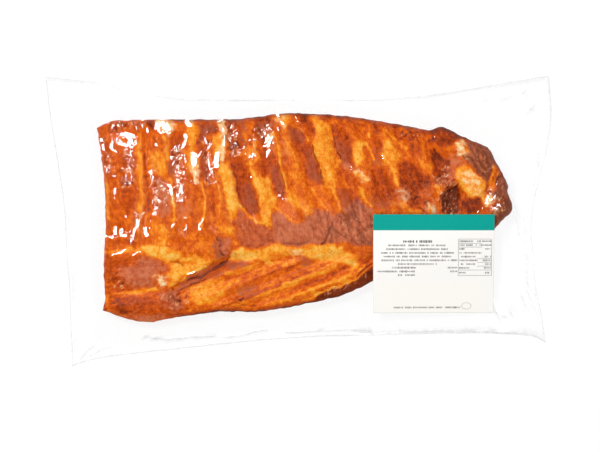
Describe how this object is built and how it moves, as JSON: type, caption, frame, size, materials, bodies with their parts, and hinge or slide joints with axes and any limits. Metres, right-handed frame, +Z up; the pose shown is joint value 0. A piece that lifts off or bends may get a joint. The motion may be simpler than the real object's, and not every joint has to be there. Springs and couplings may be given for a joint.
{
  "type": "rack of ribs",
  "caption": "Raw marinated rack of pork ribs, bone side up, vacuum-packed in a clear bag with a plain paper label.",
  "frame": {"origin": "bottom centre of the pack's bounding box, on the surface it lies on", "axes": "+Z up out of the bone side, +X along the rack towards its thick shoulder end, +Y towards the sawn rib tops"},
  "size_m": [0.42, 0.242, 0.0265],
  "materials": {
    "ribs": "moist raw pork, bone and fat under an orange-brown marinade",
    "film": "clear, glossy, crinkled vacuum film",
    "label": "satin coated paper label with a teal band and plain grey bars"
  },
  "bodies": {
    "root": {"bagged_rack": "ribs", "label": "label"}
  },
  "joints": []
}
